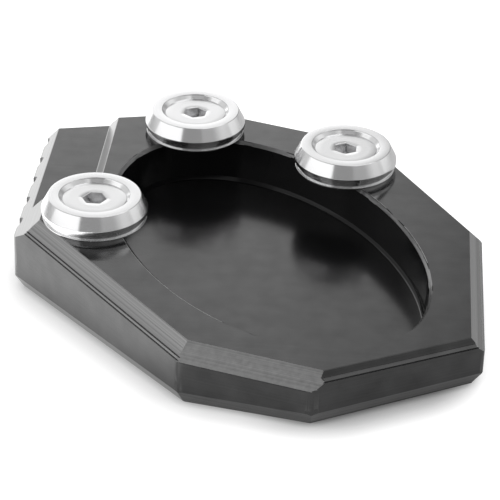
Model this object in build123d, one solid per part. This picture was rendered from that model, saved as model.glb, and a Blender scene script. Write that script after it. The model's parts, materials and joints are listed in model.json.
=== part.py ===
from build123d import *
import os
from collections import namedtuple
from math import cos, hypot, radians, sin, sqrt, tan

# Kickstand foot enlarger: a wedge-shaped pad with an oval pocket for the foot of a motorbike's stand.
# Three clamp discs, each with a countersunk screw, reach over the pocket's edge and hold the foot down.
# The plate is drawn with its top face on Z = 0, the pocket's centre at the origin and +Y to the back.
# The underside slopes against the top, so at the end the whole object is turned to stand on it.

# Pocket for the foot of the stand, an ellipse
pocket_length = 81.8
pocket_width = 49.6
pocket_turn = -58.3
pocket_depth = 8.8
pocket_floor = 1.5
pocket_floor_chamfer = 0.6
rim_chamfer = 0.6

# Wedge: the angle between top and underside, and the plan direction in which the plate grows thicker
wedge_angle = 4.66
thick_end_angle = 131.0

# Upright faces, clockwise from the left end: the angle of the plan direction that each one faces
left_face_angle = 180.0
back_left_face_angle = 103.9
back_face_angle = 72.4
back_right_face_angle = 31.1
right_face_angle = 0.0
right_front_face_angle = -61.8
front_face_angle = -105.9
front_left_face_angle = -140.2

# Least width of the rim between the pocket and each upright face
left_rim = 18.0
back_left_rim = 13.6
back_rim = 12.0
back_right_rim = 12.9
right_rim = 9.9
right_front_rim = 5.6
front_rim = 8.9
front_left_rim = 10.0

# Bevels at 45 degrees along the top edges
left_bevel = 5.5
back_bevel = 2.4
right_bevel = 2.5
right_front_bevel = 1.5
front_bevel = 2.95
front_left_bevel = 2.75

# Machining lines along a bevel: two passes, hollow where they meet, and fine grooves at the lower edge
bevel_hollow = 0.08
right_front_hollow = 0.3
groove_width = 0.3
groove_depth = 0.2
groove_spacing = 0.6

# Bevel along the underside, and the upright corners
foot_bevel_inset = 1.7
foot_bevel_height = 2.8
front_corner_radius = 3.5
back_corner_radius = 1.2

# Lowered ledge at the back left
ledge_width = 12.7
ledge_drop = 3.0
step_run = 2.0
ledge_from_disc = 7.0

# Grip flutes down the left end
flute_count = 5
flute_pitch = 8.25
flute_radius = 2.2
flute_depth = 1.0
flute_from_back = 1.7

# Countersunk screw
thread_diameter = 6.0
screw_length = 12.0
head_diameter = 12.0
head_land = 0.4
screw_tip_chamfer = 0.4
socket_across_flats = 4.0
socket_depth = 2.3

# Clamp discs, turned, with the screw's head sunk in the middle, and their places round the pocket
disc_diameter = 20.0
disc_foot_inset = 0.25
disc_lip_height = 0.45
disc_waist_depth = 0.6
disc_edge_height = 2.15
disc_bevel_inset = 1.3
recess_depth = 0.95
disc_floor = 0.25
disc_from_wall = 4.15
left_disc_angle = 242.9
back_disc_angle = 167.8
right_disc_angle = 114.2

# Fits
seat_clearance = 0.03
shank_clearance = 0.3
recess_clearance = 0.65
thread_clearance = 0.05
hole_spare = 1.5

# Sizes that follow from the ones above
thread_radius = thread_diameter / 2
head_radius = head_diameter / 2
head_height = head_land + head_radius - thread_radius
head_top = disc_floor + head_height
disc_height = head_top + recess_depth
screw_reach = screw_length - head_top
wedge_slope = tan(radians(wedge_angle))
overrun = pocket_length


def support(direction):
    """Distance from the pocket's centre to the line that touches its wall on the side facing a direction."""
    turn = radians(direction - pocket_turn)
    return hypot(pocket_length / 2 * cos(turn), pocket_width / 2 * sin(turn))


# The pocket's floor is thinnest at the end towards which the wedge tapers
plate_thickness = pocket_depth + pocket_floor + wedge_slope * support(thick_end_angle)

# Each upright face, clockwise from the left end; corner is the radius of the corner where the face ends
Face = namedtuple("Face", "facing rim bevel hollow grooves corner")
FACES = (
    Face(left_face_angle, left_rim, left_bevel, 0.0, 0, back_corner_radius),
    Face(back_left_face_angle, back_left_rim, back_bevel, bevel_hollow, 2, back_corner_radius),
    Face(back_face_angle, back_rim, back_bevel, bevel_hollow, 2, back_corner_radius),
    Face(back_right_face_angle, back_right_rim, back_bevel, bevel_hollow, 2, back_corner_radius),
    Face(right_face_angle, right_rim, right_bevel, bevel_hollow, 2, back_corner_radius),
    Face(right_front_face_angle, right_front_rim, right_front_bevel, right_front_hollow, 1,
         front_corner_radius),
    Face(front_face_angle, front_rim, front_bevel, bevel_hollow, 2, front_corner_radius),
    Face(front_left_face_angle, front_left_rim, front_left_bevel, bevel_hollow, 2, front_corner_radius),
)


def outward(direction):
    """Unit vector of a plan direction."""
    return Vector(cos(radians(direction)), sin(radians(direction)))


def face_corner(face, following):
    """Plan point where two neighbouring upright faces meet."""
    offset = support(face.facing) + face.rim
    following_offset = support(following.facing) + following.rim
    turn = radians(following.facing - face.facing)
    along = (following_offset - offset * cos(turn)) / sin(turn)
    return outward(face.facing) * offset + outward(face.facing + 90) * along


# A corner has the number of the face that ends there, so a face runs from the corner before to its own
CORNERS = [face_corner(FACES[i - 1], FACES[i]) for i in range(1, len(FACES))]
CORNERS.append(face_corner(FACES[-1], FACES[0]))
left_back_corner = CORNERS[0]


def pocket_wall_point(place, distance):
    """Plan point at a distance outside the pocket's wall, by the ellipse's own angle."""
    half_length = pocket_length / 2
    half_width = pocket_width / 2
    on_wall = Vector(half_length * cos(radians(place)), half_width * sin(radians(place)))
    across = Vector(cos(radians(place)) / half_length, sin(radians(place)) / half_width).normalized()
    return (on_wall + across * distance).rotate(Axis.Z, pocket_turn)


DISC_CENTRES = {
    "left": pocket_wall_point(left_disc_angle, disc_from_wall),
    "back": pocket_wall_point(back_disc_angle, disc_from_wall),
    "right": pocket_wall_point(right_disc_angle, disc_from_wall),
}


def low_point(point):
    """The point of the underside straight below a point of the top face."""
    towards_thick = point.dot(outward(thick_end_angle))
    return point - Vector(0, 0, plate_thickness + wedge_slope * towards_thick)


def along_edge(start, end, facing, section):
    """Solid of one section, drawn outwards and upwards from an edge, that runs past both of its ends."""
    edge = end - start
    frame = Plane(origin=start, x_dir=outward(facing), z_dir=edge)
    outline = make_face(Polyline(*section, close=True))
    return frame * Pos(0, 0, -overrun) * extrude(outline, edge.length + 2 * overrun)


def bevel_section(width, hollow, grooves):
    """Section that a top bevel removes: a slope at 45 degrees, hollow halfway, grooved at its lower edge."""
    def on_slope(distance, depth=0.0):
        across = distance / sqrt(2)
        sunk = depth / sqrt(2)
        return (across - width - sunk, -across - sunk)

    slope = width * sqrt(2)
    points = [on_slope(0)]
    if hollow:
        points.append(on_slope(slope / 2, hollow))
    for number in reversed(range(grooves)):
        lower = slope - number * groove_spacing
        points.append(on_slope(lower - groove_width))
        points.append(on_slope(lower - groove_width / 2, groove_depth))
        points.append(on_slope(lower))
    points += [on_slope(slope + width), (width, width), (-width, width)]
    return points


def foot_bevel_section():
    """Section that the bevel along the underside removes, drawn from the underside's sharp edge."""
    return [
        (-foot_bevel_inset, 0),
        (0, foot_bevel_height),
        (overrun, foot_bevel_height),
        (overrun, -overrun),
        (-foot_bevel_inset, -overrun),
    ]


def plate_outline():
    """Plan outline of the plate, with its upright corners rounded."""
    outline = make_face(Polyline(*CORNERS, close=True))
    for face, corner in zip(FACES, CORNERS):
        nearest = outline.vertices().sort_by_distance(corner)[0]
        outline = fillet(nearest, face.corner)
    return outline


def underside():
    """Plane of the underside, with its Z axis up into the plate."""
    tilt = outward(thick_end_angle) * wedge_slope
    centre = Vector(0, 0, -plate_thickness)
    return Plane(origin=centre, x_dir=Vector(1, 0, -tilt.X), z_dir=Vector(tilt.X, tilt.Y, 1))


def plate():
    """Wedge-shaped plate with bevelled top and bottom edges."""
    body = extrude(plate_outline(), -overrun)
    body = split(body, bisect_by=underside(), keep=Keep.TOP)
    for number, face in enumerate(FACES):
        start = CORNERS[number - 1]
        end = CORNERS[number]
        section = bevel_section(face.bevel, face.hollow, face.grooves)
        body -= along_edge(start, end, face.facing, section)
        body -= along_edge(low_point(start), low_point(end), face.facing, foot_bevel_section())
    return body


def ledge_cut():
    """What is cut away over the ledge: a flat floor beside a sloping step. The section's Y points down."""
    start = Vector(left_back_corner.X, DISC_CENTRES["left"].Y + ledge_from_disc)
    frame = Plane(origin=start, x_dir=Vector(1, 0, 0), z_dir=Vector(0, 1, 0))
    step_top = ledge_drop - ledge_drop * (1 + overrun / step_run)
    section = [
        (-overrun, ledge_drop),
        (ledge_width, ledge_drop),
        (ledge_width + step_run + overrun, step_top),
        (-overrun, step_top),
    ]
    return frame * extrude(make_face(Polyline(*section, close=True)), overrun)


def flute_cuts():
    """Round grip flutes down the left end."""
    axis_x = left_back_corner.X - flute_radius + flute_depth
    first_y = left_back_corner.Y - flute_from_back
    flute = extrude(Circle(flute_radius), overrun, both=True)
    return [Pos(axis_x, first_y - i * flute_pitch) * flute for i in range(flute_count)]


def pocket_cut():
    """The pocket's space, chamfered at its floor and at its rim, where the chamfer runs on above the top."""
    def oval(growth, height):
        return Pos(0, 0, height) * Ellipse(pocket_length / 2 + growth, pocket_width / 2 + growth)

    floor_edge = pocket_floor_chamfer - pocket_depth
    floor = loft([oval(-pocket_floor_chamfer, -pocket_depth), oval(0, floor_edge)])
    wall = extrude(oval(0, floor_edge), -floor_edge)
    rim = loft([oval(0, -rim_chamfer), oval(2 * rim_chamfer, rim_chamfer)])
    return Rot(0, 0, pocket_turn) * (floor + wall + rim)


def turned(*profile):
    """Solid turned about Z from a profile of (radius, height) points."""
    return revolve(Plane.XZ * make_face(Polyline(*profile, close=True)), Axis.Z)


def screw_hole():
    """Blind tapped hole, a little deeper than the screw reaches."""
    radius = thread_radius + thread_clearance
    depth = screw_reach + hole_spare
    return turned((0, disc_height), (radius, disc_height), (radius, -depth), (0, -depth))


def pad_body():
    """The machined pad."""
    body = plate() - ledge_cut() - pocket_cut()
    for flute in flute_cuts():
        body -= flute
    for centre in DISC_CENTRES.values():
        body -= Pos(centre) * screw_hole()
    return body


def clamp_disc():
    """Turned disc: lipped foot, waist, edge, steep bevel, recess and the countersink for the screw's head."""
    def seat_height(radius):
        return disc_floor + radius - thread_radius - seat_clearance

    edge_radius = disc_diameter / 2
    foot_radius = edge_radius - disc_foot_inset
    waist_radius = edge_radius - disc_waist_depth
    recess_radius = head_radius + recess_clearance
    hole_radius = thread_radius + shank_clearance
    return turned(
        (hole_radius, 0),
        (foot_radius, 0),
        (foot_radius, disc_lip_height),
        (waist_radius, disc_lip_height),
        (waist_radius, disc_edge_height),
        (edge_radius, disc_edge_height),
        (edge_radius - disc_bevel_inset, disc_height),
        (recess_radius, disc_height),
        (recess_radius, seat_height(recess_radius)),
        (hole_radius, seat_height(hole_radius)),
    )


def clamp_screw():
    """Countersunk hex-socket screw, with its axis on Z and the plate's top face at Z = 0."""
    screw = turned(
        (0, -screw_reach),
        (thread_radius - screw_tip_chamfer, -screw_reach),
        (thread_radius, screw_tip_chamfer - screw_reach),
        (thread_radius, disc_floor),
        (head_radius, head_top - head_land),
        (head_radius, head_top),
        (0, head_top),
    )
    socket = RegularPolygon(socket_across_flats / 2, side_count=6, major_radius=False)
    return screw - Pos(0, 0, head_top) * extrude(socket, -socket_depth)


def build():
    """Every node, standing on its underside with the origin at the middle of its footprint."""
    nodes = {"pad_body": pad_body()}
    for name, centre in DISC_CENTRES.items():
        nodes["clamp_disc_" + name] = Pos(centre) * clamp_disc()
    nodes["clamp_screws"] = Compound([Pos(centre) * clamp_screw() for centre in DISC_CENTRES.values()])
    ground = underside()
    standing = {name: ground.to_local_coords(shape) for name, shape in nodes.items()}
    box = Compound(list(standing.values())).bounding_box()
    to_middle = Pos(-box.center().X, -box.center().Y, -box.min.Z)
    return {name: to_middle * shape for name, shape in standing.items()}


os.makedirs("parts", exist_ok=True)
for node, shape in build().items():
    export_step(shape, "parts/" + node + ".step")
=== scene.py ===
"""Kickstand foot enlarger: a black anodised pad, three turned clamp discs and their countersunk screws.

The file is laid out as an add-on and is run as a script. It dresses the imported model, in metres and in the
model's own frame.
"""

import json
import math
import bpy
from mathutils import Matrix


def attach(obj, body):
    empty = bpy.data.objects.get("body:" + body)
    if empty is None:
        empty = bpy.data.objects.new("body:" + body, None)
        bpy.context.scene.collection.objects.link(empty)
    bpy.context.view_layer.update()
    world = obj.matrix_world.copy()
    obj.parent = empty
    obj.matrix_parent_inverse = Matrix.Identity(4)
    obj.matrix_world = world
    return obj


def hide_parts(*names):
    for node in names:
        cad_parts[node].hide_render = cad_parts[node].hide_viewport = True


bl_info = {
    "name": "Kickstand Foot Enlarger",
    "version": (1, 0, 0),
    "blender": (4, 5, 0),
    "location": "3D View > Sidebar > Foot Enlarger",
    "description": "Builds the pad, the clamp discs, the screws and the studio around the packed model",
    "category": "Object",
}

import bmesh
import bpy
import numpy as np
from bpy.props import FloatProperty, FloatVectorProperty, IntProperty, PointerProperty

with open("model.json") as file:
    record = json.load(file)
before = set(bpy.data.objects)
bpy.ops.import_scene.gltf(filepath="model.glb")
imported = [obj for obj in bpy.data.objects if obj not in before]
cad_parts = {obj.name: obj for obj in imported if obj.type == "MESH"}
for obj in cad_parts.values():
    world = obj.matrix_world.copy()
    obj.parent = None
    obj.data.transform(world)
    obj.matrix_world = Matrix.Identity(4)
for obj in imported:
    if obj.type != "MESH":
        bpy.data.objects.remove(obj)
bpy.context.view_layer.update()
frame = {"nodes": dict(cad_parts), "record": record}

BODY = "root"
DISC_NODES = ("clamp_disc_left", "clamp_disc_back", "clamp_disc_right")

# The UV map of every piece, and the values for its finish and its painted shade that each face of the pad
# carries
UV_NAME = "machining"
MILLED_NAME = "milled"
GLOSS_NAME = "gloss"
LINED_NAME = "lined"
ROUGH_NAME = "rough"


def unit(vector):
    """The vector divided by its length."""
    return vector / np.linalg.norm(vector)


# The pad's top is tilted against the ground, so turned pieces stand along the axis of the pocket's mount
POCKET = next(mount for mount in frame["record"]["mounts"] if mount["name"] == "foot_pocket")
POCKET_PLACE = np.array(POCKET["pos_m"])
PLATE_UP = unit(np.array(POCKET["axis"]))
PLATE_RIGHT = unit(np.array([1.0, 0.0, 0.0]) - PLATE_UP[0] * PLATE_UP)
PLATE_BACK = np.cross(PLATE_UP, PLATE_RIGHT)

# Where the pad's front side and its right-front side face, along its top
FRONT = unit(PLATE_RIGHT * -0.274 - PLATE_BACK * 0.962)
RIGHT_FRONT = unit(PLATE_RIGHT * 0.4 - PLATE_BACK * 0.9)


class PadSettings(bpy.types.PropertyGroup):
    """Pocket, finish and painted shade of the machined pad."""

    pocket_length: FloatProperty(
        name="Pocket length", description="Long axis of the oval pocket", default=0.0818, unit="LENGTH")
    pocket_width: FloatProperty(
        name="Pocket width", description="Short axis of the oval pocket", default=0.0496, unit="LENGTH")
    pocket_turn: FloatProperty(
        name="Pocket turn", description="Angle of the long axis", default=math.radians(-58.3),
        unit="ROTATION")
    edge_width: FloatProperty(
        name="Edge width", description="Width of the broken edges", default=0.00012, unit="LENGTH",
        precision=5)
    colour: FloatVectorProperty(
        name="Colour", description="Dye of the anodised layer", subtype="COLOR",
        default=(0.006, 0.0061, 0.0064))
    roughness: FloatProperty(
        name="Roughness", description="Roughness of the satin surface", subtype="FACTOR", default=0.12)
    refraction: FloatProperty(
        name="Refraction", description="Refraction index of the oxide layer", default=1.77)
    slope_colour: FloatVectorProperty(
        name="Slope colour", description="Reflection of the milled slopes", subtype="COLOR",
        default=(0.31, 0.31, 0.31))
    slope_roughness: FloatProperty(
        name="Slope roughness", description="Roughness of the milled slopes", subtype="FACTOR", default=0.3)
    # Painted shade: this low specular level darkens the pocket's wall and the steep faces of the chamfer at
    # its foot
    painted_shade_gloss: FloatProperty(
        name="Wall gloss", description="Specular level of the pocket's side-milled wall", subtype="FACTOR",
        default=0.1)


class DiscSettings(bpy.types.PropertyGroup):
    """Sizes and finish of the turned clamp discs."""

    edge_radius: FloatProperty(
        name="Edge radius", description="Widest radius", default=0.010, unit="LENGTH")
    foot_radius: FloatProperty(
        name="Foot radius", description="Radius of the lip on the pad", default=0.00975, unit="LENGTH")
    waist_radius: FloatProperty(
        name="Waist radius", description="Radius of the groove over the lip", default=0.0094, unit="LENGTH")
    top_radius: FloatProperty(
        name="Top radius", description="Radius of the flat top", default=0.0087, unit="LENGTH")
    recess_radius: FloatProperty(
        name="Recess radius", description="Radius of the recess round the head", default=0.00665,
        unit="LENGTH")
    hole_radius: FloatProperty(
        name="Hole radius", description="Radius of the clearance hole", default=0.0033, unit="LENGTH")
    height: FloatProperty(
        name="Height", description="Height over the pad", default=0.0046, unit="LENGTH")
    edge_height: FloatProperty(
        name="Edge height", description="Height of the widest edge's upper corner", default=0.00215,
        unit="LENGTH")
    land_height: FloatProperty(
        name="Land height", description="Height of the widest edge's lower corner", default=0.0014,
        unit="LENGTH")
    lip_height: FloatProperty(
        name="Lip height", description="Height of the lip", default=0.0003, unit="LENGTH")
    seat_height: FloatProperty(
        name="Seat height", description="Height of the countersink at the hole", default=0.00112,
        unit="LENGTH")
    columns: IntProperty(
        name="Columns", description="Steps round the axis", default=192)
    colour: FloatVectorProperty(
        name="Colour", description="Bare aluminium", subtype="COLOR", default=(0.80, 0.80, 0.805))
    roughness: FloatProperty(
        name="Roughness", description="Roughness of the turned surface", subtype="FACTOR", default=0.19)


class ScrewSettings(bpy.types.PropertyGroup):
    """Sizes and finish of the countersunk screws."""

    head_radius: FloatProperty(
        name="Head radius", description="Radius of the head", default=0.006, unit="LENGTH")
    head_top: FloatProperty(
        name="Head top", description="Height of the head's face over the pad", default=0.0039,
        unit="LENGTH")
    head_land: FloatProperty(
        name="Head land", description="Depth of the head's rim", default=0.00007, unit="LENGTH")
    shank_radius: FloatProperty(
        name="Shank radius", description="Outer radius of the thread", default=0.00298, unit="LENGTH")
    root_radius: FloatProperty(
        name="Root radius", description="Inner radius of the thread", default=0.0024, unit="LENGTH")
    pitch: FloatProperty(
        name="Pitch", description="Rise of the thread in one turn", default=0.001, unit="LENGTH")
    reach: FloatProperty(
        name="Reach", description="Depth of the tip under the pad's top", default=0.00835, unit="LENGTH")
    socket_flats: FloatProperty(
        name="Socket", description="Width of the hexagon across its flats", default=0.004, unit="LENGTH")
    socket_depth: FloatProperty(
        name="Socket depth", description="Depth of the hexagon", default=0.0023, unit="LENGTH")
    turns: FloatVectorProperty(
        name="Turns", description="How far each screw is turned", subtype="EULER",
        default=(0.0, math.radians(24), math.radians(30)))
    columns: IntProperty(
        name="Columns", description="Steps round the axis", default=120)
    colour: FloatVectorProperty(
        name="Colour", description="Bright stainless steel", subtype="COLOR", default=(0.76, 0.76, 0.765))
    roughness: FloatProperty(
        name="Roughness", description="Roughness of the head", subtype="FACTOR", default=0.2)


class StageSettings(bpy.types.PropertyGroup):
    """Camera, floor and light."""

    lens: FloatProperty(
        name="Lens", description="Focal length", default=158.4, unit="CAMERA")
    camera_place: FloatVectorProperty(
        name="Camera place", description="Where the camera stands", subtype="TRANSLATION",
        default=(0.03387029, -0.36730087, 0.19385628))
    camera_turn: FloatVectorProperty(
        name="Camera turn", description="How the camera is turned", subtype="EULER",
        default=(math.radians(63.36867), math.radians(1.226), math.radians(4.49327)))
    floor_colour: FloatVectorProperty(
        name="Floor", description="Colour of the floor", subtype="COLOR", default=(0.6, 0.6, 0.6))
    world_strength: FloatProperty(
        name="World", description="Even light from all round", default=0.05)


def node_points(name):
    """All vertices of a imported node, one row of three coordinates each."""
    vertices = frame["nodes"][name].data.vertices
    points = np.empty(len(vertices) * 3, np.float32)
    vertices.foreach_get("co", points)
    return points.reshape(-1, 3).astype(float)


def foot_centre(name):
    """Middle of the face on which a turned node stands: the middle of its lowest points across its axis."""
    slack = 1e-5
    points = node_points(name)
    heights = points @ PLATE_UP
    foot = points[heights < heights.min() + slack]
    across = np.stack([foot @ PLATE_RIGHT, foot @ PLATE_BACK], axis=1)
    middle = (across.min(axis=0) + across.max(axis=0)) / 2
    return middle[0] * PLATE_RIGHT + middle[1] * PLATE_BACK + heights.min() * PLATE_UP


def rounded_profile(corners, steps):
    """Profile with rounded corners, as rows of (radius, height), from rows of (radius, height, setback).

    A corner P between A and B becomes the parabola (1-t)^2 S + 2t(1-t) P + t^2 E, where S and E lie the
    setback away from P towards A and towards B. The profile is closed, so the first corner follows the last.
    """
    corners = np.asarray(corners, float)
    setbacks = corners[:, 2:]
    corners = corners[:, :2]
    before = np.roll(corners, 1, axis=0) - corners
    after = np.roll(corners, -1, axis=0) - corners
    start = corners + setbacks * before / np.linalg.norm(before, axis=1, keepdims=True)
    end = corners + setbacks * after / np.linalg.norm(after, axis=1, keepdims=True)
    t = np.linspace(0.0, 1.0, steps)[None, :, None]
    bend = (1 - t) ** 2 * start[:, None] + 2 * t * (1 - t) * corners[:, None] + t ** 2 * end[:, None]
    return bend.reshape(-1, 2)


def lathe_points(radii, heights, centre, turn=0.0):
    """Points of a turned surface: centre + radius (cos a right + sin a back) + height up.

    Radii and heights have one row for each point of the profile and one column for each step round the axis.
    The first column stands at the angle turn.
    """
    angles = turn + np.linspace(0.0, 2 * np.pi, radii.shape[1], endpoint=False)
    spokes = np.cos(angles)[:, None] * PLATE_RIGHT + np.sin(angles)[:, None] * PLATE_BACK
    points = centre + radii[..., None] * spokes + heights[..., None] * PLATE_UP
    return points.reshape(-1, 3)


def lathe_quads(rows, columns, closed):
    """Quads of a turned grid that closes round its axis, and over its last row where closed is true."""
    row = np.arange(rows if closed else rows - 1)[:, None]
    column = np.arange(columns)[None, :]

    def corner(down, across):
        return (row + down) % rows * columns + (column + across) % columns

    return np.stack([corner(0, 0), corner(0, 1), corner(1, 1), corner(1, 0)], axis=-1).reshape(-1, 4)


def lathe_map(lengths, columns, closed):
    """UV of the quads' corners: u goes once round the axis, v is the length along the profile in metres."""
    rows = len(lengths)
    row = np.arange(rows if closed else rows - 1)[:, None, None]
    column = np.arange(columns)[None, :, None]
    down = np.array([0, 0, 1, 1])[None, None, :]
    across = np.array([0, 1, 1, 0])[None, None, :]
    u = np.broadcast_to((column + across) / columns, (len(row), columns, 4))
    v = np.broadcast_to(lengths[(row + down) % rows], (len(row), columns, 4))
    return np.stack([u, v], axis=-1).reshape(-1, 2)


def run_length(profile):
    """Length along a profile up to each of its points."""
    steps = np.linalg.norm(np.diff(profile, axis=0), axis=1)
    return np.concatenate([[0.0], np.cumsum(steps)])


# Turned pieces are smooth over edges that bend by less than this
CREASE_ANGLE = math.radians(35)


def turned_piece(name, points, faces, uv, material, nodes):
    """Smooth-shaded mesh piece with a UV map, sharp only where it bends by more than the crease angle."""
    mesh = bpy.data.meshes.new(name)
    mesh.from_pydata(points.tolist(), [], faces)
    mesh.uv_layers.new(name=UV_NAME).uv.foreach_set("vector", uv.astype(np.float32).ravel())
    mesh.shade_smooth()
    mesh.validate()
    finished_piece(name, mesh, (material,), nodes)
    mesh.set_sharp_from_angle(angle=CREASE_ANGLE)


def finished_piece(name, mesh, materials, nodes):
    """Object for a mesh, with its materials, attached to its body, with the nodes that it stands for hidden.
    """
    piece = bpy.data.objects.new(name, mesh)
    bpy.context.scene.collection.objects.link(piece)
    mesh.materials.clear()
    for material in materials:
        mesh.materials.append(material)
    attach(piece, BODY)
    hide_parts(*nodes)


# Lines of the cutter and rings of the lathe: how many lie along u and along v, over one unit of the UV map
CUTTER_LINES = (5.0, 3000.0, 1.0)
LATHE_RINGS = (3.0, 6000.0, 1.0)
STREAK_DETAIL = 3.0
BUMP_STRENGTH = 0.2

# Marks in the anodised layer: how many there are over a metre, and their detail
CLOUDS = (90.0, 3.0)
BLOTCHES = (260.0, 4.0)
MOTTLE = (1100.0, 4.0)
GRAIN = (2500.0, 2.0)
GRAIN_SHARE = 0.3
CUTTER_DEPTH = 0.00003

# How far the marks make a finish swing, up and down
DYE_SWING = 0.1
SATIN_SWING = 0.02
BRUSHED_SWING = 0.08
BLOTCH_SWING = 0.35
SHEEN_SWING = 1.8
SLOPE_SWING = 0.7
RING_SWING = 0.05

# The lathe's sheen lies across its rings
RING_SHEEN = 0.8
QUARTER_TURN = 0.25


class Recipe:
    """The nodes of a material or of the world, and short ways to add and join them."""

    def __init__(self, owner, shader):
        owner.use_nodes = True
        self.owner = owner
        self.tree = owner.node_tree
        self.shader = self.tree.nodes[shader]

    def add(self, kind, inputs=(), **settings):
        """New node; inputs pairs a socket's name or number with a value or with another node's output."""
        node = self.tree.nodes.new(kind)
        for name, value in settings.items():
            setattr(node, name, value)
        for socket, value in inputs:
            self.feed(node, socket, value)
        return node

    def feed(self, node, socket, value):
        """Sets a socket to a value, or joins it to an output."""
        if isinstance(value, bpy.types.NodeSocket):
            self.tree.links.new(value, node.inputs[socket])
        else:
            node.inputs[socket].default_value = value

    def shade(self, socket, value):
        """Sets a socket of the shader to a value, or joins it to an output."""
        self.feed(self.shader, socket, value)

    def math(self, operation, first, second):
        """Output of a sum, power or other operation on two values."""
        return self.add("ShaderNodeMath", ((0, first), (1, second)), operation=operation).outputs[0]

    def product(self, first, *others):
        """Output of the product of two or more values."""
        for other in others:
            first = self.math("MULTIPLY", first, other)
        return first

    def blend(self, factor, first, second):
        """Output that runs from the first value to the second as a factor runs from 0 to 1."""
        inputs = (("Value", factor), ("To Min", first), ("To Max", second))
        return self.add("ShaderNodeMapRange", inputs).outputs[0]

    def around(self, factor, middle, swing):
        """Output that runs from the swing below a middle value to the swing above it."""
        return self.blend(factor, middle - swing, middle + swing)

    def tint(self, factor, colour, swing):
        """A colour that runs from 1 - swing to 1 + swing times itself as a factor runs from 0 to 1."""
        ends = [(*[level * share for level in colour], 1.0) for share in (1 - swing, 1 + swing)]
        return self.mix(factor, *ends)

    def mix(self, factor, first, second):
        """A colour that runs from the first to the second as a factor runs from 0 to 1."""
        inputs = (("Factor", factor), (6, first), (7, second))
        return self.add("ShaderNodeMix", inputs, data_type="RGBA").outputs[2]

    def noise(self, vector, scale, detail):
        """Output of a noise on a vector, between 0 and 1."""
        inputs = (("Vector", vector), ("Scale", scale), ("Detail", detail))
        return self.add("ShaderNodeTexNoise", inputs).outputs["Fac"]

    def ease(self, value, start, end, top):
        """Smooth step of a value, 0 at the start and top at the end."""
        inputs = (("Value", value), ("From Min", start), ("From Max", end), ("To Max", top))
        return self.add("ShaderNodeMapRange", inputs, interpolation_type="SMOOTHSTEP").outputs[0]

    def band(self, angle, start, end):
        """Output that is 1 between two angles and 0 outside, with a soft edge at each.

        An end is its angle and half its soft edge's width, in degrees.
        """
        rise = np.radians([start[0] - start[1], start[0] + start[1]]).tolist()
        fall = np.radians([end[0] + end[1], end[0] - end[1]]).tolist()
        return self.product(self.ease(angle, *rise, 1.0), self.ease(angle, *fall, 1.0))

    def streaks(self, scale):
        """Output of a noise on the UV map, stretched by a scale so that it makes lines along u."""
        machining = self.add("ShaderNodeUVMap", uv_map=UV_NAME).outputs[0]
        stretched = self.add("ShaderNodeMapping", (("Vector", machining), ("Scale", scale))).outputs[0]
        return self.noise(stretched, 1.0, STREAK_DETAIL)

    def face_value(self, name):
        """Output of a value that each face carries."""
        return self.add("ShaderNodeAttribute", attribute_name=name).outputs["Fac"]

    def relief(self, height, depth):
        """Gives the shader a fine relief."""
        inputs = (("Height", height), ("Strength", BUMP_STRENGTH), ("Distance", depth))
        self.shade("Normal", self.add("ShaderNodeBump", inputs).outputs[0])


def anodised_layer(name, settings):
    """Recipe of the satin black layer, the place on the surface, and its cloudy dye and roughness."""
    recipe = Recipe(bpy.data.materials.new(name), "Principled BSDF")
    place = recipe.add("ShaderNodeTexCoord").outputs["Object"]
    clouds = recipe.noise(place, *CLOUDS)
    dye = recipe.tint(clouds, settings.colour, DYE_SWING)
    satin = recipe.around(clouds, settings.roughness, SATIN_SWING)
    recipe.shade("IOR", settings.refraction)
    return recipe, place, dye, satin


def anodised_finish(name, settings):
    """Black anodised aluminium: satin with a fine grain, and dark brushed metal with lines on the slopes."""
    recipe, place, dye, satin = anodised_layer(name, settings)
    # The milled share and the specular level that each face carries are partly painted shade, lower on the
    # pocket's rim, the right-front side and the grooves
    milled = recipe.face_value(MILLED_NAME)
    lined = recipe.face_value(LINED_NAME)
    lines = recipe.streaks(CUTTER_LINES)
    satin = recipe.math("ADD", satin, recipe.face_value(ROUGH_NAME))
    brushed = recipe.around(lines, settings.slope_roughness, BRUSHED_SWING)
    recipe.shade("Roughness", recipe.blend(milled, satin, brushed))
    recipe.shade("Metallic", milled)
    blotches = recipe.around(recipe.noise(place, *BLOTCHES), 1.0, BLOTCH_SWING)
    sheen = recipe.math("ADD", recipe.product(recipe.around(lines, 0.0, SHEEN_SWING), lined), blotches)
    recipe.shade("Specular IOR Level", recipe.product(recipe.face_value(GLOSS_NAME), sheen))
    grain = recipe.product(recipe.noise(place, *GRAIN), GRAIN_SHARE)
    recipe.relief(recipe.math("ADD", recipe.product(lines, lined), grain), CUTTER_DEPTH)
    pattern = recipe.blend(lined, recipe.noise(place, *MOTTLE), lines)
    bright = recipe.tint(pattern, settings.slope_colour, SLOPE_SWING)
    recipe.shade("Base Color", recipe.mix(milled, dye, bright))
    return recipe.owner


def painted_shade_wall_finish(name, settings):
    """Black anodised aluminium with painted shade: a low specular level that darkens the pocket's wall."""
    recipe, _, dye, satin = anodised_layer(name, settings)
    recipe.shade("Base Color", dye)
    recipe.shade("Roughness", satin)
    recipe.shade("Specular IOR Level", settings.painted_shade_gloss)
    return recipe.owner


def turned_finish(name, settings, depth):
    """Turned bright metal: rings round the axis in the relief and the roughness, and a sheen across them."""
    recipe = Recipe(bpy.data.materials.new(name), "Principled BSDF")
    rings = recipe.streaks(LATHE_RINGS)
    recipe.relief(rings, depth)
    recipe.shade("Roughness", recipe.around(rings, settings.roughness, RING_SWING))
    recipe.shade("Base Color", recipe.tint(rings, settings.colour, RING_SWING))
    tangent = recipe.add("ShaderNodeTangent", direction_type="UV_MAP", uv_map=UV_NAME)
    recipe.shade("Tangent", tangent.outputs[0])
    recipe.shade("Anisotropic", RING_SHEEN)
    recipe.shade("Anisotropic Rotation", QUARTER_TURN)
    recipe.shade("Metallic", 1.0)
    return recipe.owner


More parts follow.
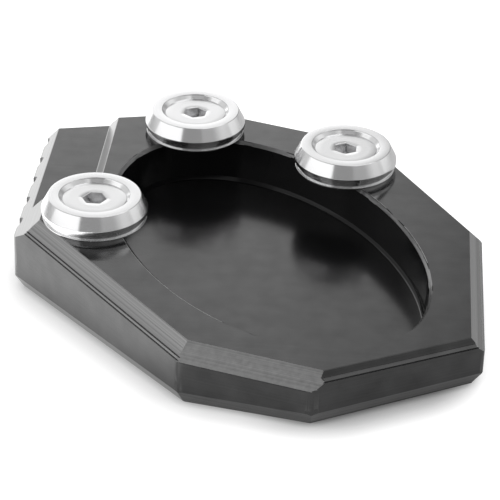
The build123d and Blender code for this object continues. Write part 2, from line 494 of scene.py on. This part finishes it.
class FOOT_OT_pad(bpy.types.Operator):
    """Machined pad: a merged copy of its solid with broken edges."""

    bl_idname = "foot_enlarger.pad"
    bl_label = "Pad"

    def execute(self, context):
        settings = context.scene.foot_pad
        mesh = bpy.data.meshes.new("anodised_pad")
        broken_copy(frame["nodes"]["pad_body"].data, mesh, settings.edge_width)
        finish_and_painted_shade = (anodised_finish("anodised_black", settings), painted_shade_wall_finish("anodised_wall_painted_shade", settings))
        finished_piece("anodised_pad", mesh, finish_and_painted_shade, ("pad_body",))
        widths = machining_map(mesh)
        mark_faces(mesh, widths, settings)
        even_shading(mesh, settings.edge_width)
        return {"FINISHED"}


# Corners of the solid closer than this are one, and faces that bend by less than the flat angle are one
MERGE_DISTANCE = 1e-6
FLAT_ANGLE = math.radians(0.3)

# Edges that bend by more than the sharp angle are broken, where both their faces are wide, which means more
# than this many times the broken edge's width
SHARP_ANGLE = math.radians(25)
WIDE_FACE = 3

# The strips along a broken edge are at most this many times its width
STRIP_WIDTH = 1.3


def broken_copy(source, mesh, width):
    """Copies a solid's mesh with its loose triangles merged into flat faces and its main edges broken.

    Edges beside a face that is too narrow, such as those of the fine grooves, stay sharp.
    """
    shape = bmesh.new()
    shape.from_mesh(source)
    bmesh.ops.remove_doubles(shape, verts=shape.verts, dist=MERGE_DISTANCE)
    bmesh.ops.dissolve_limit(shape, angle_limit=FLAT_ANGLE, verts=shape.verts, edges=shape.edges)
    wide = {face for face in shape.faces
            if 2 * face.calc_area() / sum(edge.calc_length() for edge in face.edges) > WIDE_FACE * width}
    broken = [edge for edge in shape.edges
              if edge.calc_face_angle() > SHARP_ANGLE and wide.issuperset(edge.link_faces)]
    bmesh.ops.bevel(shape, geom=broken, offset=width, offset_type="OFFSET", segments=2, profile=0.5,
                    affect="EDGES", clamp_overlap=False, loop_slide=True)
    bmesh.ops.dissolve_degenerate(shape, dist=MERGE_DISTANCE / 10, edges=shape.edges)
    for face in shape.faces:
        face.smooth = True
    shape.to_mesh(mesh)
    shape.free()


def face_values(mesh, name, count):
    """One row of values for each face, such as its normal, its centre or its area."""
    values = np.empty(len(mesh.polygons) * count, np.float32)
    mesh.polygons.foreach_get(name, values)
    return values.reshape(-1, count).astype(float)


def face_corners(mesh):
    """Number of corners of each face, then the vertex and the place of each corner of all faces."""
    sizes = np.empty(len(mesh.polygons), np.int32)
    mesh.polygons.foreach_get("loop_total", sizes)
    corners = np.empty(len(mesh.loops), np.int32)
    mesh.loops.foreach_get("vertex_index", corners)
    points = np.empty(len(mesh.vertices) * 3, np.float32)
    mesh.vertices.foreach_get("co", points)
    return sizes, corners, points.reshape(-1, 3).astype(float)[corners]


def corner_pairs(corners, vertices):
    """All pairs of face corners at the same vertex, each with itself too, as two rows of their numbers."""
    order = np.argsort(corners, kind="stable")
    counts = np.bincount(corners, minlength=vertices)
    starts = np.cumsum(counts) - counts
    valence = counts[corners]
    first = np.repeat(np.arange(len(corners)), valence)
    within = np.arange(len(first)) - np.repeat(np.cumsum(valence) - valence, valence)
    return first, order[starts[corners[first]] + within]


# Faces up to these angles apart, in degrees, belong to the same surface
STRIP_BEND = 35.0
UPRIGHT_BEND = 25.0
POCKET_BEND = 15.0
OTHER_BEND = 2.0

# An upright face's normal rises or falls by less than this
UPRIGHT_RISE = 0.26

# The front bevel's faces are narrower than this, face the front, and lie further in front of the pocket's
# middle and higher over it than this
BEVEL_BREADTH = 0.0022
BEVEL_FACING = 0.9995
BEVEL_DISTANCE = 0.036
BEVEL_HEIGHT = 0.004


def even_shading(mesh, width):
    """Gives each face corner the mean normal of the faces round its vertex that belong to the same surface.

    The mean is weighted by area. How far faces of one surface may bend depends on their kind: most where one
    is a broken edge's strip, less where both are upright, less again where both face the pocket, and least
    elsewhere. The fine passes of the front bevel all get the normal of one bevel at 45 degrees.
    """
    normals = face_values(mesh, "normal", 3)
    centres = face_values(mesh, "center", 3)
    areas = face_values(mesh, "area", 1)[:, 0]
    sizes, corners, points = face_corners(mesh)
    starts = np.cumsum(sizes) - sizes
    following = np.arange(len(corners)) + 1
    following[starts + sizes - 1] = starts
    outlines = np.add.reduceat(np.linalg.norm(points[following] - points, axis=1), starts)
    breadths = 2 * areas / outlines
    places = centres - POCKET_PLACE
    strip = breadths < STRIP_WIDTH * width
    upright = np.abs(normals @ PLATE_UP) < UPRIGHT_RISE
    inward = np.einsum("ij,ij->i", normals, places) < 0
    owners = np.repeat(np.arange(len(sizes)), sizes)
    first, second = corner_pairs(corners, len(mesh.vertices))
    one = owners[first]
    other = owners[second]
    limits = np.select(
        [strip[one] | strip[other], upright[one] & upright[other], inward[one] & inward[other]],
        [STRIP_BEND, UPRIGHT_BEND, POCKET_BEND], OTHER_BEND)
    together = np.einsum("ij,ij->i", normals[one], normals[other]) > np.cos(np.radians(limits))
    weights = areas[other] * together
    sums = [np.bincount(first, weights * normals[other, axis], len(corners)) for axis in range(3)]
    means = np.stack(sums, axis=1)
    means /= np.linalg.norm(means, axis=1, keepdims=True)
    bevel = np.abs(normals @ FRONT) > BEVEL_FACING * np.sqrt(1 - (normals @ PLATE_UP) ** 2)
    bevel &= breadths < BEVEL_BREADTH
    bevel &= (places @ FRONT > BEVEL_DISTANCE) & (places @ PLATE_UP > BEVEL_HEIGHT)
    means[bevel[owners]] = unit(PLATE_UP + FRONT)
    mesh.normals_split_custom_set(means.tolist())


# A face whose normal is tilted by less than this has no level direction of its own
LEVEL_TILT = 0.05


def machining_map(mesh):
    """UV map in metres, with u level along each face and v across it. Gives each face's width along v."""
    normals = face_values(mesh, "normal", 3)
    sizes, _, points = face_corners(mesh)
    level = np.cross(PLATE_UP, normals)
    tilt = np.linalg.norm(level, axis=1, keepdims=True)
    level = np.where(tilt > LEVEL_TILT, level / np.maximum(tilt, LEVEL_TILT), PLATE_RIGHT)
    across = np.cross(normals, level)
    u = np.einsum("ij,ij->i", points, np.repeat(level, sizes, axis=0))
    v = np.einsum("ij,ij->i", points, np.repeat(across, sizes, axis=0))
    uv = np.stack([u, v], axis=1).astype(np.float32)
    mesh.uv_layers.new(name=UV_NAME).uv.foreach_set("vector", uv.ravel())
    starts = np.cumsum(sizes) - sizes
    return np.maximum.reduceat(v, starts) - np.minimum.reduceat(v, starts)


# Leans from the pad's top, in degrees, at which one kind of face ends and the next begins
FLAT_LEAN = 12
GENTLE_LEAN = 36
STEEP_LEAN = 75
WALL_LEAN = 95
FOOT_LEANS = (100, 150)

# Heights over the pocket's floor up to which a face is part of the floor, and of the chamfer round it
FLOOR_HEIGHT = 0.001
DEEP_HEIGHT = 0.002

# The pocket reaches to its oval's edge and a little beyond, as the square of the distance
POCKET_REACH = 1.1

# Widths between which a face belongs to one of the fine grooves along the bevels
GROOVE_WIDTHS = (0.0002, 0.00028)

# How far a face may turn from a side's direction, as a cosine
FRONT_FACING = 0.98
RIGHT_FRONT_FACING = 0.93

# Share of the milled slopes' look; the lower shares on the pocket's rim chamfer and on the grooves are
# painted shade
RIM_MILLED = 0.4
GROOVE_MILLED = 0.65

# Specular levels; the lower levels on the gentle right-front faces and on the strips at the pocket's rim are
# painted shade
PLAIN_GLOSS = 0.5
RIGHT_FRONT_GLOSS = 0.25
RIM_GLOSS = 0.1

# How plainly the cutter's lines show
PLAIN_LINES = 0.12
FRONT_LINES = 0.65

# Roughness added to the satin surface
FLOOR_ROUGHNESS = 0.06
RIM_ROUGHNESS = 0.5


def mark_faces(mesh, widths, settings):
    """Gives each face of the pad its material and the values that its finish reads.

    The values are its share of the milled slopes' look, its specular level, how plainly it shows the cutter's
    lines and the roughness that is added to it. Slopes lean between the flat and the steep lean. Less of the
    milled look on the right-front side, the pocket's rim and the grooves away from the front, and lower
    specular levels on the gentle right-front faces and the strips at the pocket's rim, are painted shade. The
    pocket's wall is steeper and faces the pocket's axis. It has the second material, which paints shade on it
    with a low specular level, with the steep faces of the chamfer at its foot.
    """
    normals = face_values(mesh, "normal", 3)
    places = face_values(mesh, "center", 3) - POCKET_PLACE
    tilt = np.linalg.norm(np.cross(PLATE_UP, normals), axis=1)
    lean = np.degrees(np.arccos(np.clip(normals @ PLATE_UP, -1.0, 1.0)))
    height = places @ PLATE_UP
    long_axis = math.cos(settings.pocket_turn) * PLATE_RIGHT + math.sin(settings.pocket_turn) * PLATE_BACK
    along = places @ long_axis / (settings.pocket_length / 2)
    beside = places @ np.cross(PLATE_UP, long_axis) / (settings.pocket_width / 2)
    inward = np.einsum("ij,ij->i", normals, places) < 0
    in_pocket = inward & (along ** 2 + beside ** 2 < POCKET_REACH)
    front = np.abs(normals @ FRONT) > FRONT_FACING * tilt
    right_front = normals @ RIGHT_FRONT > RIGHT_FRONT_FACING * tilt
    slope = (lean > FLAT_LEAN) & (lean < STEEP_LEAN)
    wall = (lean > STEEP_LEAN) & (lean < WALL_LEAN) & in_pocket
    foot = (lean > FOOT_LEANS[0]) & (lean < FOOT_LEANS[1])
    groove = (widths > GROOVE_WIDTHS[0]) & (widths < GROOVE_WIDTHS[1]) & ~inward
    strip = widths < STRIP_WIDTH * settings.edge_width
    deep = height < DEEP_HEIGHT
    rim = slope & in_pocket
    rim_strip = rim & strip & ~deep
    floor = (lean < FLAT_LEAN) & (height < FLOOR_HEIGHT)
    # Painted shade: the pocket's rim, the right-front side and the grooves away from the front get less of
    # the milled look than the other slopes
    milled = np.select(
        [rim & (deep | strip), rim, right_front, groove & ~front, slope | groove],
        [0.0, RIM_MILLED, 0.0, GROOVE_MILLED, 1.0], 0.0)
    # Painted shade: lower specular levels on the strips at the pocket's rim and on the gentle right-front
    # faces
    gloss = np.select(
        [rim_strip, right_front & (lean < GENTLE_LEAN)],
        [RIM_GLOSS, RIGHT_FRONT_GLOSS], PLAIN_GLOSS)
    lined = np.select(
        [front & (milled > 0), (milled > 0) | foot],
        [FRONT_LINES, 1.0], PLAIN_LINES)
    rough = np.select(
        [floor, rim_strip],
        [FLOOR_ROUGHNESS, RIM_ROUGHNESS], 0.0)
    marks = {MILLED_NAME: milled, GLOSS_NAME: gloss, LINED_NAME: lined, ROUGH_NAME: rough}
    for name, values in marks.items():
        mesh.attributes.new(name, "FLOAT", "FACE").data.foreach_set("value", values.astype(np.float32))
    # Painted shade: the pocket's wall and the steep faces of the chamfer at its foot get the second material,
    # whose low specular level darkens them
    painted_shade_faces = wall | (rim & deep & (lean > GENTLE_LEAN))
    mesh.polygons.foreach_set("material_index", painted_shade_faces.astype(np.int32))


# Points in each rounded corner of a disc's profile, and the depth of the lathe's rings
CORNER_STEPS = 6
DISC_RING_DEPTH = 0.000004


class FOOT_OT_discs(bpy.types.Operator):
    """Turned clamp discs, each with a lip, a waist, an edge, a bevel and a recess for the screw's head."""

    bl_idname = "foot_enlarger.discs"
    bl_label = "Clamp discs"

    def execute(self, context):
        sizes = context.scene.foot_disc
        profile = rounded_profile(disc_corners(sizes), CORNER_STEPS)
        radii = np.repeat(profile[:, :1], sizes.columns, axis=1)
        heights = np.repeat(profile[:, 1:], sizes.columns, axis=1)
        quads = lathe_quads(len(profile), sizes.columns, True).tolist()
        uv = lathe_map(run_length(profile), sizes.columns, True)
        finish = turned_finish("turned_aluminium", sizes, DISC_RING_DEPTH)
        for node in DISC_NODES:
            points = lathe_points(radii, heights, foot_centre(node))
            turned_piece("turned_" + node, points, quads, uv, finish, (node,))
        return {"FINISHED"}


def disc_corners(sizes):
    """Corners of a disc's profile, each with its radius, its height and the setback of its rounding.

    They run from the hole out along the foot, up over lip, waist and edge, and in over the top to the recess.
    """
    seat_top = sizes.seat_height + sizes.recess_radius - sizes.hole_radius
    return (
        (sizes.hole_radius, 0.0, 0.0001),
        (sizes.foot_radius, 0.0, 0.00006),
        (sizes.foot_radius, sizes.lip_height, 0.00012),
        (sizes.waist_radius, sizes.lip_height, 0.00008),
        (sizes.waist_radius, sizes.land_height, 0.00008),
        (sizes.edge_radius, sizes.land_height, 0.00006),
        (sizes.edge_radius, sizes.edge_height, 0.0001),
        (sizes.top_radius, sizes.height, 0.00012),
        (sizes.recess_radius, sizes.height, 0.0001),
        (sizes.recess_radius, seat_top, 0.0001),
        (sizes.hole_radius, sizes.seat_height, 0.00008),
    )


# Depth of the lathe's rings on a screw, its plain shank under the head, the bevel at its tip, rows of the
# grid in one turn of the thread, and the shares of half a turn that the crest and the flank take up
SCREW_RING_DEPTH = 0.000003
PLAIN_SHANK = 0.0006
TIP_BEVEL = 0.0005
TURN_ROWS = 8
CREST_SHARE = 0.12
FLANK_SHARE = 0.66


class FOOT_OT_screws(bpy.types.Operator):
    """Countersunk screws with a hexagon socket and a thread, one in the middle of each disc."""

    bl_idname = "foot_enlarger.screws"
    bl_label = "Screws"

    def execute(self, context):
        sizes = context.scene.foot_screw
        radii, heights, lengths = screw_grid(sizes)
        rows, columns = radii.shape
        grid = lathe_quads(rows, columns, False)
        uv = lathe_map(lengths, columns, False)
        column = np.arange(columns)
        following = (column + 1) % columns
        tip = rows * columns
        floor = tip + 1
        top_row = (rows - 1) * columns
        tip_fan = np.stack([np.full(columns, tip), following, column], axis=1)
        floor_fan = np.stack([np.full(columns, floor), top_row + column, top_row + following], axis=1)
        fan_uv = np.zeros((columns * 3, 2))
        all_points = []
        all_faces = []
        all_uv = []
        for number, node in enumerate(DISC_NODES):
            centre = foot_centre(node)
            points = lathe_points(radii, heights, centre, sizes.turns[number])
            poles = centre + np.outer([heights[0, 0], heights[-1, 0]], PLATE_UP)
            first = number * (tip + 2)
            all_points += [points, poles]
            all_faces += (grid + first).tolist() + (tip_fan + first).tolist() + (floor_fan + first).tolist()
            all_uv += [uv, fan_uv, fan_uv]
        finish = turned_finish("bright_steel", sizes, SCREW_RING_DEPTH)
        turned_piece("socket_screws", np.concatenate(all_points), all_faces, np.concatenate(all_uv),
                     finish, ("clamp_screws",))
        return {"FINISHED"}


def screw_grid(sizes):
    """Radii and heights of a screw, one row for each point of its profile and one column for each angle.

    From the tip the rows run up the thread, out over the head's cone, round its rim and over its face, then
    down the socket. The thread's radius swings between root and crest with the phase
    height / pitch - angle / turn. The socket's rows are the hexagon apothem / cos((angle mod 60) - 30), with
    a round drill point under them.
    """
    angles = np.linspace(0.0, 2 * np.pi, sizes.columns, endpoint=False)[None, :]
    tip = -sizes.reach
    shank_top = sizes.head_top - sizes.head_land - (sizes.head_radius - sizes.shank_radius)
    thread_top = shank_top - PLAIN_SHANK
    thread_rows = int(round((thread_top - tip - TIP_BEVEL) / sizes.pitch * TURN_ROWS))
    thread_heights = np.linspace(tip + TIP_BEVEL, thread_top, thread_rows)
    phase = (thread_heights[:, None] / sizes.pitch - angles / (2 * np.pi)) % 1.0
    groove = np.clip((np.abs(2 * phase - 1) - CREST_SHARE) / FLANK_SHARE, 0.0, 1.0)
    fade = np.clip((thread_top - thread_heights) / sizes.pitch, 0.0, 1.0)[:, None]
    thread_radii = sizes.shank_radius - (sizes.shank_radius - sizes.root_radius) * groove * fade
    rim = sizes.head_radius
    face = sizes.head_top
    apothem = sizes.socket_flats / 2
    floor = face - sizes.socket_depth
    lower = np.array([
        (sizes.root_radius / 2, tip),
        (sizes.root_radius - 0.0001, tip),
    ])
    upper = np.array([
        (sizes.shank_radius, shank_top),
        (rim, face - sizes.head_land),
        (rim - 0.00001, face - 0.00004),
        (rim - 0.00004, face - 0.00001),
        (rim - 0.0001, face),
        (rim - 0.0014, face),
        (rim - 0.0028, face),
    ])
    socket = np.array([
        (apothem + 0.00016, face),
        (apothem + 0.00008, face - 0.00003),
        (apothem, face - 0.00014),
        (apothem, floor + 0.0001),
        (apothem - 0.0001, floor),
    ])
    drill_point = np.array([
        (apothem - 0.0011, floor - 0.0003),
    ])
    hexagon = 1 / np.cos(angles % (np.pi / 3) - np.pi / 6)
    ones = np.ones_like(angles)
    radii = np.concatenate([
        lower[:, :1] * ones,
        thread_radii,
        upper[:, :1] * ones,
        socket[:, :1] * hexagon,
        drill_point[:, :1] * ones,
    ])
    heights = np.concatenate([lower[:, 1], thread_heights, upper[:, 1], socket[:, 1], drill_point[:, 1]])
    profile = np.stack([radii.mean(axis=1), heights], axis=1)
    return radii, heights[:, None] * ones, run_length(profile)


class FOOT_OT_stage(bpy.types.Operator):
    """Camera, floor and world."""

    bl_idname = "foot_enlarger.stage"
    bl_label = "Stage"

    def execute(self, context):
        settings = context.scene.foot_stage
        scene = context.scene
        scene.view_settings.view_transform = "Standard"
        lens = bpy.data.cameras.new("camera")
        lens.lens = settings.lens
        lens.clip_start = 0.01
        camera = bpy.data.objects.new("camera", lens)
        camera.location = settings.camera_place
        camera.rotation_euler = settings.camera_turn
        scene.collection.objects.link(camera)
        scene.camera = camera
        add_floor(settings)
        add_world(settings)
        return {"FINISHED"}


# Half the floor's width, and how far it lies under the pad so that their faces don't meet
FLOOR_HALF = 3.0
FLOOR_DROP = 2e-5

# How far round a point of the floor the pad takes light from it, for the painted shadow in the floor's
# emission
SHADOW_DISTANCE = 0.009
SHADOW_SAMPLES = 16
FLOOR_WHITE = 0.95

# Smooth steps over the floor, each with the places in metres where it starts and ends, and its end's height
GLOW_LEFT = (-0.010, -0.030, 0.8)
GLOW_BACK = (0.03, 0.10, 0.22)
GLOW_EVEN = 0.3
DIM_RIGHT = (0.008, 0.03, 0.12)
DEEP_FROM_LEFT = (0.0, 0.025, 1.3)
DEEP_FROM_BACK = (-0.024, -0.034, 1.0)
DEEP_FROM_RIGHT = (0.046, 0.034, 1.0)
SHADOW_EVEN = 0.85
PALE_RIGHT = (0.034, 0.046, 0.45)


def add_floor(settings):
    """Pale floor that looks white to the camera and in reflections. Its emission carries a painted shadow of
    the pad, and its diffuse colour takes real shadows.
    """
    mesh = bpy.data.meshes.new("floor")
    signs = ((-1, -1), (1, -1), (1, 1), (-1, 1))
    mesh.from_pydata([(x * FLOOR_HALF, y * FLOOR_HALF, -FLOOR_DROP) for x, y in signs], [], [(0, 1, 2, 3)])
    floor = bpy.data.objects.new("floor", mesh)
    bpy.context.scene.collection.objects.link(floor)
    recipe = Recipe(bpy.data.materials.new("floor_paper"), "Principled BSDF")
    recipe.shade("Base Color", (*settings.floor_colour, 1.0))
    recipe.shade("Roughness", 0.9)
    recipe.shade("Specular IOR Level", 0.0)
    path = recipe.add("ShaderNodeLightPath").outputs
    place = recipe.add("ShaderNodeTexCoord").outputs["Object"]
    x, y, _ = recipe.add("ShaderNodeSeparateXYZ", (("Vector", place),)).outputs
    # Painted shadow: an occlusion node darkens the floor's emission near the pad, for the camera and in
    # reflections
    reach = (("Distance", SHADOW_DISTANCE),)
    open_floor = recipe.add("ShaderNodeAmbientOcclusion", reach, samples=SHADOW_SAMPLES).outputs["AO"]
    mirrored = recipe.product(path["Is Glossy Ray"], floor_glow(recipe, x, y, open_floor))
    direct = recipe.math("MAXIMUM", path["Is Camera Ray"], path["Is Transmission Ray"])
    direct = recipe.product(direct, floor_shadow(recipe, x, y, open_floor), FLOOR_WHITE)
    recipe.shade("Emission Color", (1.0, 1.0, 1.0, 1.0))
    recipe.shade("Emission Strength", recipe.math("ADD", direct, mirrored))
    mesh.materials.append(recipe.owner)


def floor_glow(recipe, x, y, open_floor):
    """Painted glow of the floor in reflections: most on the left, more so at the back, least on the right,
    darkened near the pad by a painted shadow.
    """
    back = recipe.math("ADD", recipe.ease(y, *GLOW_BACK), 1.0)
    left = recipe.product(recipe.ease(x, *GLOW_LEFT), back, recipe.math("POWER", open_floor, 2.0))
    return recipe.math("ADD", left, recipe.math("SUBTRACT", GLOW_EVEN, recipe.ease(x, *DIM_RIGHT)))


def floor_shadow(recipe, x, y, open_floor):
    """Painted shadow of the pad in the floor's emission, as the camera sees it: deeper under the right-front
    side, paler beside the right.
    """
    right_front = recipe.product(
        recipe.ease(x, *DEEP_FROM_LEFT), recipe.ease(y, *DEEP_FROM_BACK), recipe.ease(x, *DEEP_FROM_RIGHT))
    even = recipe.math("SUBTRACT", SHADOW_EVEN, recipe.ease(x, *PALE_RIGHT))
    return recipe.math("POWER", open_floor, recipe.math("ADD", right_front, even))


# Each soft patch of light: its left and right ends as azimuths from the back towards the right, its lower and
# upper ends as elevations, each with half the width of its soft edge, in degrees, and its radiance over the
# even light
PATCHES = (
    ((-220, 5), (220, 5), (-20, 5), (44, 6), 0.28),
    ((-48, 12), (4.2, 6.5), (-20, 10), (34, 28), 1.48),
    ((-155, 2), (-86, 3), (9, 4), (50, 7), 1.0),
    ((-116, 5), (-96, 5), (50, 6), (68, 6), 1.0),
    ((-86, 3), (-55, 8), (9, 4), (50, 8), 0.45),
    ((48, 5), (118, 14), (2, 4), (54, 5), 0.38),
    ((60, 4), (84, 3), (2, 4), (54, 5), 0.24),
    ((94, 3), (112, 6), (2, 4), (54, 5), 0.06),
    ((112, 8), (157, 4), (9, 4), (44, 6), 0.11),
    ((-40, 8), (20, 8), (48, 5), (75, 5), 0.9),
    ((20, 5), (70, 5), (52, 4), (78, 4), 2.0),
    ((103, 5), (150, 5), (50, 4), (78, 4), 1.2),
    ((150, 5), (220, 5), (52, 4), (78, 4), 0.6),
    ((-220, 5), (-150, 5), (52, 4), (78, 4), 0.6),
    ((5, 8), (60, 10), (-20, 5), (12, 8), 0.2),
)


def add_world(settings):
    """Grey surroundings with soft patches of light, which look white to the camera.

    Each patch is a product of smooth steps in azimuth and elevation.
    """
    recipe = Recipe(bpy.data.worlds.new("surroundings"), "Background")
    towards = recipe.add("ShaderNodeTexCoord").outputs["Generated"]
    x, y, z = recipe.add("ShaderNodeSeparateXYZ", (("Vector", towards),)).outputs
    azimuth = recipe.math("ARCTAN2", x, y)
    elevation = recipe.math("ARCSINE", z, 0.0)
    light = settings.world_strength
    for left, right, low, high, radiance in PATCHES:
        beside = recipe.band(azimuth, left, right)
        between = recipe.band(elevation, low, high)
        light = recipe.math("ADD", light, recipe.product(beside, between, radiance))
    seen = recipe.add("ShaderNodeLightPath").outputs["Is Camera Ray"]
    recipe.shade("Strength", recipe.blend(seen, light, 1.0))
    recipe.shade("Color", (1.0, 1.0, 1.0, 1.0))
    bpy.context.scene.world = recipe.owner


class FOOT_PT_panel(bpy.types.Panel):
    """Sidebar panel with the steps in order."""

    bl_label = "Foot Enlarger"
    bl_idname = "FOOT_PT_panel"
    bl_space_type = "VIEW_3D"
    bl_region_type = "UI"
    bl_category = "Foot Enlarger"

    def draw(self, context):
        for operator in OPERATORS:
            self.layout.operator(operator.bl_idname)


OPERATORS = (FOOT_OT_pad, FOOT_OT_discs, FOOT_OT_screws, FOOT_OT_stage)
SETTINGS = {
    "foot_pad": PadSettings,
    "foot_disc": DiscSettings,
    "foot_screw": ScrewSettings,
    "foot_stage": StageSettings,
}
CLASSES = (*SETTINGS.values(), *OPERATORS, FOOT_PT_panel)


def register():
    """Adds the classes, and gives the scene its settings."""
    for added in CLASSES:
        bpy.utils.register_class(added)
    for name, settings in SETTINGS.items():
        setattr(bpy.types.Scene, name, PointerProperty(type=settings))


def unregister():
    """Takes the settings off the scene, and removes the classes."""
    for name in SETTINGS:
        delattr(bpy.types.Scene, name)
    for added in reversed(CLASSES):
        bpy.utils.unregister_class(added)


def main():
    """Builds every piece and the stage."""
    register()
    bpy.ops.foot_enlarger.pad()
    bpy.ops.foot_enlarger.discs()
    bpy.ops.foot_enlarger.screws()
    bpy.ops.foot_enlarger.stage()
    bpy.context.view_layer.update()


if __name__ == "__main__":
    main()
